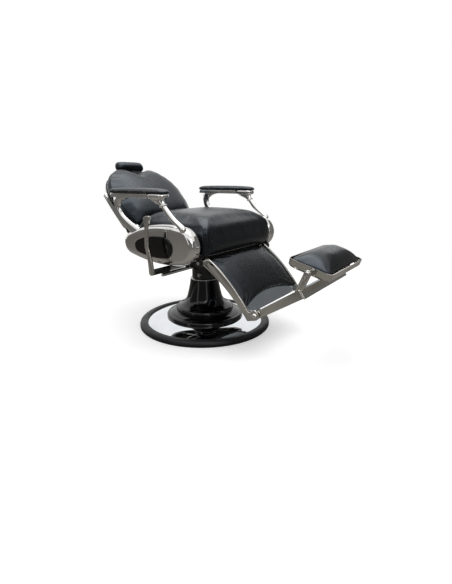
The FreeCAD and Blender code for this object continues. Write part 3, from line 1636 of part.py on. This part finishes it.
def check_and_write():
    doc.recompute()
    for piece in doc.Objects:
        if "Invalid" in piece.State or "Error" in piece.State:
            raise RuntimeError(f"{piece.Name} failed: {piece.State}")
    for piece in nodes:
        if piece.Shape.isNull() or not piece.Shape.Solids or not piece.Shape.isValid():
            raise RuntimeError(f"{piece.Label} has no valid shape")
    os.makedirs("parts", exist_ok=True)
    for piece in nodes:
        piece.Shape.exportStep(f"parts/{piece.Label}.step")
    print(len(nodes), "nodes written")


make_base_plate()
make_base_covers()
make_pump_cylinder()
make_base_bolts()
make_column()
make_pump_lever()
make_clamp_screw()
make_swivel_hub()
make_seat_frame()
make_side_plates()
make_hinge_pins()
make_recline_lock()
make_seat_board()
make_seat_cushion()
make_side_shells()
make_arm_posts()
make_arm_rails()
make_arm_pads()
make_recline_lever()
make_back()
make_back_arms()
make_back_crank()
make_headrest()
make_leg_rest()
make_foot_arms()
make_foot_tray()
check_and_write()
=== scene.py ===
import json
import math

import bmesh
import bpy
from mathutils import Matrix, Vector


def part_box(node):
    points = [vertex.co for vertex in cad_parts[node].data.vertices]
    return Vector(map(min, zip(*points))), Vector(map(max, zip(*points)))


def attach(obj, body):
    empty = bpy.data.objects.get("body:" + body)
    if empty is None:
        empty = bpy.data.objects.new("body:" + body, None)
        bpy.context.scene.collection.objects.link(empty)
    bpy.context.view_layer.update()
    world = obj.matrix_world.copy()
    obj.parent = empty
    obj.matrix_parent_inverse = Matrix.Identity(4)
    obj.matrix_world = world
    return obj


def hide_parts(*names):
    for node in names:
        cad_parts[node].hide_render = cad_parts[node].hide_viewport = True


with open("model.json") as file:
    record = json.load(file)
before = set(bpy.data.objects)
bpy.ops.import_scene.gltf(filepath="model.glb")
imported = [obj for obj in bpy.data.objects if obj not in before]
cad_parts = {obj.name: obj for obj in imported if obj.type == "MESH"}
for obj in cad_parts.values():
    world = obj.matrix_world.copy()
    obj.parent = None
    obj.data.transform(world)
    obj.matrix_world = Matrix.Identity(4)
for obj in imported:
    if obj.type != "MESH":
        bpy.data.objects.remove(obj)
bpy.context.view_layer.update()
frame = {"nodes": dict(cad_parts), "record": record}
nodes = frame["nodes"]
bodies = frame["record"]["behaviour"]["bodies"]
bodyOf = {node: body for body, members in bodies.items() for node in members}
slotOf = {row["node"]: row["material_slot"] for row in frame["record"]["subparts"]}
print("frame loaded", len(nodes), "nodes")


# materials, all on Object coordinates

def startMaterial(name, colour, roughness, metallic=0.0):
    material = bpy.data.materials.new(name)
    material.use_nodes = True
    tree = material.node_tree
    shader = tree.nodes["Principled BSDF"]
    shader.inputs["Base Color"].default_value = (*colour, 1)
    shader.inputs["Roughness"].default_value = roughness
    shader.inputs["Metallic"].default_value = metallic
    coords = tree.nodes.new("ShaderNodeTexCoord")
    return material, tree, shader, coords.outputs["Object"]


def noiseNode(tree, coords, scale, detail=4.0, stretch=None):
    if stretch:
        mapping = tree.nodes.new("ShaderNodeMapping")
        mapping.inputs["Scale"].default_value = stretch
        tree.links.new(coords, mapping.inputs["Vector"])
        coords = mapping.outputs["Vector"]
    noise = tree.nodes.new("ShaderNodeTexNoise")
    noise.inputs["Scale"].default_value = scale
    noise.inputs["Detail"].default_value = detail
    tree.links.new(coords, noise.inputs["Vector"])
    return noise.outputs["Fac"]


def rangeNode(tree, value, low, high, fromLow=0.3, fromHigh=0.7):
    node = tree.nodes.new("ShaderNodeMapRange")
    node.inputs["From Min"].default_value = fromLow
    node.inputs["From Max"].default_value = fromHigh
    node.inputs["To Min"].default_value = low
    node.inputs["To Max"].default_value = high
    tree.links.new(value, node.inputs["Value"])
    return node.outputs["Result"]


def tintNode(tree, value, dark, light):
    ramp = tree.nodes.new("ShaderNodeValToRGB")
    ramp.color_ramp.elements[0].position = 0.3
    ramp.color_ramp.elements[1].position = 0.7
    ramp.color_ramp.elements[0].color = (*dark, 1)
    ramp.color_ramp.elements[1].color = (*light, 1)
    tree.links.new(value, ramp.inputs["Fac"])
    return ramp.outputs["Color"]


def bumpNode(tree, shader, height, strength, distance):
    bump = tree.nodes.new("ShaderNodeBump")
    bump.inputs["Strength"].default_value = strength
    bump.inputs["Distance"].default_value = distance
    tree.links.new(height, bump.inputs["Height"])
    tree.links.new(bump.outputs["Normal"], shader.inputs["Normal"])


def chromeMaterial(name, dark, light, smooth, worn):
    material, tree, shader, coords = startMaterial(name, light, smooth, 1.0)
    cloud = noiseNode(tree, coords, 9.0, 5.0)  # broad tone, then fine smears, then a faint ripple
    tree.links.new(tintNode(tree, cloud, dark, light), shader.inputs["Base Color"])
    smear = noiseNode(tree, coords, 38.0, 6.0)
    tree.links.new(rangeNode(tree, smear, smooth, worn), shader.inputs["Roughness"])
    bumpNode(tree, shader, noiseNode(tree, coords, 14.0, 2.0), 0.05, 0.0006)
    return material


def leatherMaterial():
    look = {
        "dark": (0.002, 0.002, 0.0025), "light": (0.004, 0.004, 0.005), "roughness": (0.24, 0.33),
        "gloss": 0.46, "blueSheenTint": (0.74, 0.87, 1.0), "grain": 620.0, "slack": 1.5, "bump": 0.05,
    }
    material, tree, shader, coords = startMaterial("blackLeather", look["light"], 0.28)
    patches = noiseNode(tree, coords, 24.0)
    tree.links.new(tintNode(tree, patches, look["dark"], look["light"]), shader.inputs["Base Color"])
    rubbed = rangeNode(tree, noiseNode(tree, coords, 60.0), *look["roughness"])
    tree.links.new(rubbed, shader.inputs["Roughness"])
    shader.inputs["Specular IOR Level"].default_value = look["gloss"]
    # painted reflection: a blue tint on the leather's gloss, for the bluish sheen of its reflections
    shader.inputs["Specular Tint"].default_value = (*look["blueSheenTint"], 1)
    grain = tree.nodes.new("ShaderNodeTexVoronoi")
    grain.feature = "DISTANCE_TO_EDGE"
    grain.inputs["Scale"].default_value = look["grain"]
    tree.links.new(coords, grain.inputs["Vector"])
    crease = rangeNode(tree, grain.outputs["Distance"], 0.0, 1.0, 0.0, 0.25)
    slack = noiseNode(tree, coords, 30.0, 3.0)
    add = tree.nodes.new("ShaderNodeMath")
    add.operation = "MULTIPLY_ADD"
    add.inputs[1].default_value = look["slack"]
    tree.links.new(slack, add.inputs[0])
    tree.links.new(crease, add.inputs[2])
    bumpNode(tree, shader, add.outputs["Value"], look["bump"], 0.0004)
    return material


def paintMaterial(name, dark, light, roughness, worn, gloss, peel=220.0, bump=0.04):
    material, tree, shader, coords = startMaterial(name, light, roughness)
    tree.links.new(tintNode(tree, noiseNode(tree, coords, 12.0), dark, light), shader.inputs["Base Color"])
    rubbed = rangeNode(tree, noiseNode(tree, coords, 45.0, 6.0), roughness, worn)
    tree.links.new(rubbed, shader.inputs["Roughness"])
    shader.inputs["Specular IOR Level"].default_value = gloss
    bumpNode(tree, shader, noiseNode(tree, coords, peel, 2.0), bump, 0.0004)
    return material


def brushedMaterial(name, dark, light, roughness, worn, stretch):
    material, tree, shader, coords = startMaterial(name, light, roughness, 1.0)
    lines = noiseNode(tree, coords, 260.0, 4.0, stretch)
    tree.links.new(tintNode(tree, lines, dark, light), shader.inputs["Base Color"])
    tree.links.new(rangeNode(tree, lines, roughness, worn), shader.inputs["Roughness"])
    bumpNode(tree, shader, lines, 0.06, 0.0003)
    return material


def shadeDarkPlywoodMaterial():
    # painted shade: the plywood is darkened to near black, so its edge and underside read as the shade
    # under the seat; the grain is its own
    look = {"dark": (0.03, 0.026, 0.022), "light": (0.06, 0.054, 0.047), "stretch": (14.0, 1.0, 30.0)}
    material, tree, shader, coords = startMaterial("shadeDarkPlywood", look["light"], 0.6)
    grain = noiseNode(tree, coords, 40.0, 6.0, look["stretch"])
    tree.links.new(tintNode(tree, grain, look["dark"], look["light"]), shader.inputs["Base Color"])
    bumpNode(tree, shader, grain, 0.15, 0.0004)
    return material


finish = {
    "chrome": chromeMaterial("polishedChrome", (0.70, 0.69, 0.67), (0.80, 0.79, 0.775), 0.035, 0.085),
    "leather": leatherMaterial(),
    "black_gloss": paintMaterial("blackEnamel", (0.002, 0.002, 0.0022), (0.004, 0.004, 0.0045),
                                 0.06, 0.11, 0.42),
    # near-black gloss for the dark ovals on the side shells
    "inlay": paintMaterial("blackShellOval", (0.003, 0.003, 0.003), (0.006, 0.006, 0.006), 0.10, 0.17, 0.4),
    "rubber": paintMaterial("blackRubber", (0.006, 0.006, 0.008), (0.012, 0.012, 0.015),
                            0.36, 0.5, 0.3, 500.0, 0.2),
    "sleeve": paintMaterial("blackMoulding", (0.006, 0.006, 0.006), (0.012, 0.012, 0.012),
                            0.32, 0.45, 0.35, 700.0, 0.2),
    "steel": brushedMaterial("plainSteel", (0.42, 0.42, 0.42), (0.62, 0.62, 0.61),
                             0.20, 0.34, (1.0, 1.0, 9.0)),
    "iron": paintMaterial("roughCasting", (0.05, 0.05, 0.05), (0.12, 0.12, 0.12),
                          0.6, 0.8, 0.5, 300.0, 0.5),
    "black_steel": paintMaterial("satinBlack", (0.008, 0.008, 0.008), (0.016, 0.016, 0.016),
                                 0.35, 0.48, 0.4, 380.0, 0.12),
    "board": shadeDarkPlywoodMaterial(),
}
# painted reflection: the flat bars' chrome is darker and browner for the grey-brown floor they reflect;
# its higher roughness is their satin finish
barChromeFloorReflection = chromeMaterial("satinChromeFloorReflection", (0.58, 0.56, 0.53), (0.68, 0.66, 0.63), 0.08, 0.15)
plateChrome = chromeMaterial("mirrorPlate", (0.72, 0.74, 0.76), (0.82, 0.84, 0.86), 0.02, 0.05)
# painted shade: a darker, duller copy of the black paint, so the seat frame reads as the shade under the
# seat
seatFrameShadeBlack = paintMaterial("seatFrameShade", (0.002, 0.002, 0.002), (0.004, 0.004, 0.004), 0.5, 0.6, 0.12)
# painted reflection: the kick plate's chrome is tinted grey-blue for the bluish reflection on it
kickChromeBlueReflection = chromeMaterial("kickPlateBlueReflection", (0.60, 0.67, 0.74), (0.70, 0.77, 0.84), 0.04, 0.10)
ownFinish = {"seat_frame": seatFrameShadeBlack, "leg_panel": kickChromeBlueReflection, "base_disc": plateChrome}
satinNodes = ("leg_rail_right", "leg_rail_left", "foot_bar", "foot_brackets", "foot_tray", "recline_lever")
ownFinish.update({node: barChromeFloorReflection for node in satinNodes})


def finishOf(node):
    return ownFinish.get(node, finish[slotOf[node]])


def dress(target, material):
    if not target.material_slots:
        target.data.materials.append(material)
    for slot in target.material_slots:
        slot.material = material


for nodeName, nodeObject in nodes.items():
    dress(nodeObject, finishOf(nodeName))
print("materials set")


# shared making of pieces

def addPiece(name, bm, body, material):
    mesh = bpy.data.meshes.new(name)
    bm.to_mesh(mesh)
    bm.free()
    piece = bpy.data.objects.new(name, mesh)
    bpy.context.scene.collection.objects.link(piece)
    for face in mesh.polygons:
        face.use_smooth = True
    dress(piece, material)
    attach(piece, body)
    return piece


def mergedCopy(node):
    bm = bmesh.new()
    bm.from_mesh(nodes[node].data)
    bmesh.ops.remove_doubles(bm, verts=bm.verts, dist=0.00002)
    return bm


def settledMesh(piece):  # the mesh with its modifiers applied
    depsgraph = bpy.context.evaluated_depsgraph_get()
    mesh = bpy.data.meshes.new_from_object(piece.evaluated_get(depsgraph))
    piece.modifiers.clear()
    piece.data = mesh
    return mesh


def roundEdges(node, width, segments=3, limit=32):  # stands for a rigid node, its sharp edges rounded
    bm = mergedCopy(node)
    flat = math.radians(0.6)
    bmesh.ops.dissolve_limit(bm, angle_limit=flat, verts=bm.verts, edges=bm.edges)
    piece = addPiece(f"{node}_rounded", bm, bodyOf[node], finishOf(node))
    bevel = piece.modifiers.new("edges", "BEVEL")
    bevel.width = width
    bevel.segments = segments
    bevel.limit_method = "ANGLE"
    bevel.angle_limit = math.radians(limit)
    bevel.use_clamp_overlap = True
    bevel.harden_normals = True
    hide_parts(node)
    return piece


edgeWidths = {
    "arm_rails": 0.003, "arm_caps": 0.0025, "recline_lever": 0.0042,
    "leg_rail_right": 0.002, "leg_rail_left": 0.002, "foot_bar": 0.0018, "foot_brackets": 0.002,
    "headrest_bar": 0.0012, "back_arms": 0.002, "pump_yoke": 0.002,
}
for nodeName, width in edgeWidths.items():
    roundEdges(nodeName, width)
print("edges rounded")


# cushions: remeshed, blown up by cloth pressure, capped, then subdivided

backSide = (0, 0.743, -0.669)
armPad = {"voxel": 0.004, "toward": (0, 0, -1), "shrink": 0.0, "cap": 0.003, "pressure": 2.0,
          "smooth": 3, "settle": 4, "crown": 0.004}
cushions = {
    "seat_cushion": {"voxel": 0.006, "toward": (0, 0, -1), "shrink": 0.005, "cap": 0.010, "pressure": 4.0,
                     "smooth": 8, "settle": 16, "crown": 0.004, "seam": 0.0028},
    "back_cushion": {"voxel": 0.006, "toward": backSide, "shrink": 0.003, "cap": 0.008, "pressure": 4.0,
                     "smooth": 8, "settle": 16, "crown": 0.006},
    "headrest_pad": {"voxel": 0.004, "toward": backSide, "shrink": 0.001, "cap": 0.006, "pressure": 4.0,
                     "smooth": 6, "settle": 8, "crown": 0.006, "reach": 0.012},
    "leg_pad": {"voxel": 0.004, "toward": (0, 0.6115, -0.7912), "shrink": 0.0, "cap": 0.002,
                "pressure": 2.0, "smooth": 1, "settle": 2, "reach": 0.009},
    "foot_pad": {"voxel": 0.005, "toward": (0, 0.2588, -0.9659), "shrink": 0.002, "cap": 0.007,
                 "pressure": 4.0, "smooth": 6, "settle": 10, "crown": 0.017},
    "arm_pad_right": armPad,
    "arm_pad_left": armPad,
}
stuffing = {"frames": 20, "stiffness": 20, "heldFacing": 0.6}


def crownUp(piece, look):  # fuller in the middle, pinched towards the corners
    up = -Vector(look["toward"])
    along = Vector((1, 0, 0)).cross(up)
    points = [(v.co.x, v.co.dot(along), v.co.dot(up)) for v in piece.data.vertices]
    lows = [min(point[i] for point in points) for i in range(3)]
    highs = [max(point[i] for point in points) for i in range(3)]
    spans = [high - low for low, high in zip(lows, highs)]
    for vertex, point in zip(piece.data.vertices, points):
        u, v, w = [2 * (point[i] - lows[i]) / spans[i] - 1 for i in range(3)]
        vertex.co += up * look["crown"] * (1 - u ** 4) * (1 - v ** 4) * max(0.0, w * 0.5 + 0.5)


def reachUp(piece, look):  # the pad's upper edge drawn up, as over the panel behind the leg pad
    fade = 0.03
    along = Vector(look["toward"]).cross(Vector((1, 0, 0)))
    if along.z < 0:
        along.negate()
    top = max(v.co.dot(along) for v in piece.data.vertices)
    for vertex in piece.data.vertices:
        near = max(0.0, 1 - (top - vertex.co.dot(along)) / fade)
        vertex.co += along * look["reach"] * near


def pressCorners(piece, look):  # sewn seams down the four upright corners of a boxed cushion
    low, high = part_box("seat_cushion")
    radius = 0.03
    width = 0.008
    fade = low[2] + (high[2] - low[2]) * 0.8
    for vertex in piece.data.vertices:
        x, y, z = vertex.co
        u = max(low[0] + radius - x, x - high[0] + radius)
        v = max(low[1] + radius - y, y - high[1] + radius)
        away = abs(u - v) / math.sqrt(2)
        if min(u, v) > 0 and away < width:
            depth = look["seam"] * (1 - away / width) * min(1.0, max(0.0, (fade - z) / 0.04))
            vertex.co -= vertex.normal * depth


def blowUp(piece, look):
    held = piece.vertex_groups.new(name="held")
    toward = Vector(look["toward"])
    facing = stuffing["heldFacing"]
    held.add([v.index for v in piece.data.vertices if v.normal.dot(toward) > facing], 1.0, "REPLACE")
    start = [v.co.copy() for v in piece.data.vertices]
    cloth = piece.modifiers.new("stuffing", "CLOTH")
    cloth.settings.use_pressure = True
    cloth.settings.uniform_pressure_force = look["pressure"]
    cloth.settings.tension_stiffness = stuffing["stiffness"]
    cloth.settings.compression_stiffness = stuffing["stiffness"]
    cloth.settings.vertex_group_mass = "held"
    cloth.settings.effector_weights.gravity = 0
    for step in range(1, stuffing["frames"] + 1):
        bpy.context.scene.frame_set(step)
    mesh = settledMesh(piece)
    for vertex, before in zip(mesh.vertices, start):
        move = vertex.co - before
        if move.length > look["cap"]:
            vertex.co = before + move.normalized() * look["cap"]
    bpy.context.scene.frame_set(1)


def smoothMesh(piece, rounds):
    bm = bmesh.new()
    bm.from_mesh(piece.data)
    for _ in range(rounds):
        bmesh.ops.smooth_vert(bm, verts=bm.verts, factor=0.5,
                              use_axis_x=True, use_axis_y=True, use_axis_z=True)
    bm.to_mesh(piece.data)
    bm.free()


def stuffCushion(node, look):
    bm = mergedCopy(node)
    piece = addPiece(f"{node}_upholstery", bm, bodyOf[node], finish["leather"])
    remesh = piece.modifiers.new("skin", "REMESH")
    remesh.mode = "VOXEL"
    remesh.voxel_size = look["voxel"]
    settledMesh(piece)
    smoothMesh(piece, look["smooth"])
    toward = Vector(look["toward"])
    for vertex in piece.data.vertices:
        if vertex.normal.dot(toward) < stuffing["heldFacing"]:
            vertex.co -= vertex.normal * look["shrink"]
    blowUp(piece, look)
    smoothMesh(piece, look["settle"])
    finer = piece.modifiers.new("finer", "SUBSURF")
    finer.levels = 1
    finer.render_levels = 1
    settledMesh(piece)
    if "crown" in look:
        crownUp(piece, look)
    if "reach" in look:
        reachUp(piece, look)
    if "seam" in look:
        pressCorners(piece, look)
    for face in piece.data.polygons:
        face.use_smooth = True
    dress(piece, finish["leather"])
    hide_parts(node)
    print("cushion", node, len(piece.data.polygons), "faces")


for nodeName, look in cushions.items():
    stuffCushion(nodeName, look)


# camera at the photograph's place

eye = {"at": (-1.487, -1.206, 0.734), "yaw": -54.3, "pitch": 16.6, "focalPixels": 380, "longSide": 584}
lens = bpy.data.cameras.new("photoCamera")
lens.sensor_width = 36
lens.lens = eye["focalPixels"] / eye["longSide"] * lens.sensor_width
camera = bpy.data.objects.new("photoCamera", lens)
camera.location = eye["at"]
camera.rotation_euler = (math.radians(90 - eye["pitch"]), 0, math.radians(eye["yaw"]))
bpy.context.scene.collection.objects.link(camera)
bpy.context.scene.camera = camera


# floor, soft boxes and sky

def rayMix(tree, names):  # one where the ray is any of these kinds
    path = tree.nodes.new("ShaderNodeLightPath")
    total = path.outputs[names[0]]
    for name in names[1:]:
        add = tree.nodes.new("ShaderNodeMath")
        add.operation = "MAXIMUM"
        tree.links.new(total, add.inputs[0])
        tree.links.new(path.outputs[name], add.inputs[1])
        total = add.outputs["Value"]
    return total


def layFloor():
    look = {
        "size": 14.0, "seen": (0.86, 0.86, 0.86), "lift": 0.40,
        "mirrored": (0.27, 0.258, 0.24), "fade": (1.0, 2.6),
    }
    bm = bmesh.new()
    bmesh.ops.create_grid(bm, x_segments=1, y_segments=1, size=look["size"])
    mesh = bpy.data.meshes.new("studioFloor")
    bm.to_mesh(mesh)
    bm.free()
    floor = bpy.data.objects.new("studioFloor", mesh)
    bpy.context.scene.collection.objects.link(floor)
    material = bpy.data.materials.new("paleFloor")
    material.use_nodes = True
    tree = material.node_tree
    tree.nodes.clear()
    out = tree.nodes.new("ShaderNodeOutputMaterial")
    near = tree.nodes.new("ShaderNodeBsdfDiffuse")
    near.inputs["Color"].default_value = (*look["seen"], 1)
    glow = tree.nodes.new("ShaderNodeEmission")
    glow.inputs["Strength"].default_value = look["lift"]
    shadowed = tree.nodes.new("ShaderNodeAddShader")
    far = tree.nodes.new("ShaderNodeEmission")
    far.inputs["Strength"].default_value = 1.0
    coords = tree.nodes.new("ShaderNodeTexCoord")
    reach = tree.nodes.new("ShaderNodeVectorMath")
    reach.operation = "LENGTH"
    tree.links.new(coords.outputs["Object"], reach.inputs[0])
    seen = tree.nodes.new("ShaderNodeMixShader")  # white paper beyond the shadow
    tree.links.new(rangeNode(tree, reach.outputs["Value"], 0.0, 1.0, *look["fade"]), seen.inputs[0])
    mirrored = tree.nodes.new("ShaderNodeBsdfDiffuse")
    mirrored.inputs["Color"].default_value = (*look["mirrored"], 1)
    mix = tree.nodes.new("ShaderNodeMixShader")
    tree.links.new(near.outputs[0], shadowed.inputs[0])
    tree.links.new(glow.outputs[0], shadowed.inputs[1])
    tree.links.new(shadowed.outputs[0], seen.inputs[1])
    tree.links.new(far.outputs[0], seen.inputs[2])
    tree.links.new(rayMix(tree, ["Is Camera Ray"]), mix.inputs[0])
    tree.links.new(mirrored.outputs[0], mix.inputs[1])
    tree.links.new(seen.outputs[0], mix.inputs[2])
    tree.links.new(mix.outputs[0], out.inputs["Surface"])
    mesh.materials.append(material)


lamps = {
    "topBox": {"at": (0.1, 0.1, 2.7), "aim": (0, 0, 0.5), "size": 2.4, "power": 52},
    "keyBox": {"at": (-1.9, -2.2, 1.9), "aim": (0, 0, 0.4), "size": 1.2, "power": 8},
}


def hangLight(name, look):
    light = bpy.data.lights.new(name, "AREA")
    light.shape = "RECTANGLE"
    light.size = look["size"]
    light.size_y = look["size"]
    light.energy = look["power"]
    lamp = bpy.data.objects.new(name, light)
    lamp.location = look["at"]
    aim = Vector(look["aim"]) - lamp.location
    lamp.rotation_euler = aim.to_track_quat("-Z", "Y").to_euler()
    bpy.context.scene.collection.objects.link(lamp)


def paintSky():
    look = {"seen": 1.0, "light": 0.45}
    world = bpy.data.worlds.new("studioSky")
    bpy.context.scene.world = world
    world.use_nodes = True
    tree = world.node_tree
    tree.nodes.clear()
    out = tree.nodes.new("ShaderNodeOutputWorld")
    mix = tree.nodes.new("ShaderNodeMixShader")
    soft = tree.nodes.new("ShaderNodeBackground")
    soft.inputs["Strength"].default_value = look["light"]
    seen = tree.nodes.new("ShaderNodeBackground")
    seen.inputs["Strength"].default_value = look["seen"]
    for node in (soft, seen):
        node.inputs["Color"].default_value = (1, 1, 1, 1)
    tree.links.new(rayMix(tree, ["Is Camera Ray", "Is Glossy Ray", "Is Transmission Ray"]), mix.inputs[0])
    tree.links.new(soft.outputs[0], mix.inputs[1])
    tree.links.new(seen.outputs[0], mix.inputs[2])
    tree.links.new(mix.outputs[0], out.inputs["Surface"])


# grey cards that only the chrome and the leather's gloss see: middle, turn, width and height
cardGrey = (0.15, 0.147, 0.14)
cards = {
    "cardLeft": {"at": (-3.0, -1.2, 0.9), "turn": 112, "size": (3.2, 1.8)},
    "cardFront": {"at": (-0.3, -3.3, 1.1), "turn": 5, "size": (3.8, 2.2)},
    "cardRight": {"at": (2.3, -1.8, 1.3), "turn": 74, "size": (3.0, 2.6)},
    "cardBack": {"at": (-2.1, 1.7, 0.95), "turn": 51, "size": (2.6, 1.5)},
}


def standCard(name, look):
    bm = bmesh.new()
    bmesh.ops.create_grid(bm, x_segments=1, y_segments=1, size=0.5)
    bmesh.ops.scale(bm, vec=(*look["size"], 1), verts=bm.verts)
    upright = Matrix.Rotation(math.radians(90), 4, "X")
    turned = Matrix.Rotation(math.radians(look["turn"]), 4, "Z") @ upright
    bmesh.ops.transform(bm, matrix=Matrix.Translation(look["at"]) @ turned, verts=bm.verts)
    mesh = bpy.data.meshes.new(name)
    bm.to_mesh(mesh)
    bm.free()
    card = bpy.data.objects.new(name, mesh)
    bpy.context.scene.collection.objects.link(card)
    material, _, shader, _ = startMaterial(name, (0, 0, 0), 0.9)
    shader.inputs["Emission Color"].default_value = (*cardGrey, 1)
    shader.inputs["Emission Strength"].default_value = 1.0
    mesh.materials.append(material)
    card.visible_camera = False
    card.visible_shadow = False
    card.visible_diffuse = False


layFloor()
paintSky()
for cardName, look in cards.items():
    standCard(cardName, look)
for lampName, look in lamps.items():
    hangLight(lampName, look)
bpy.context.scene.view_settings.view_transform = "Standard"
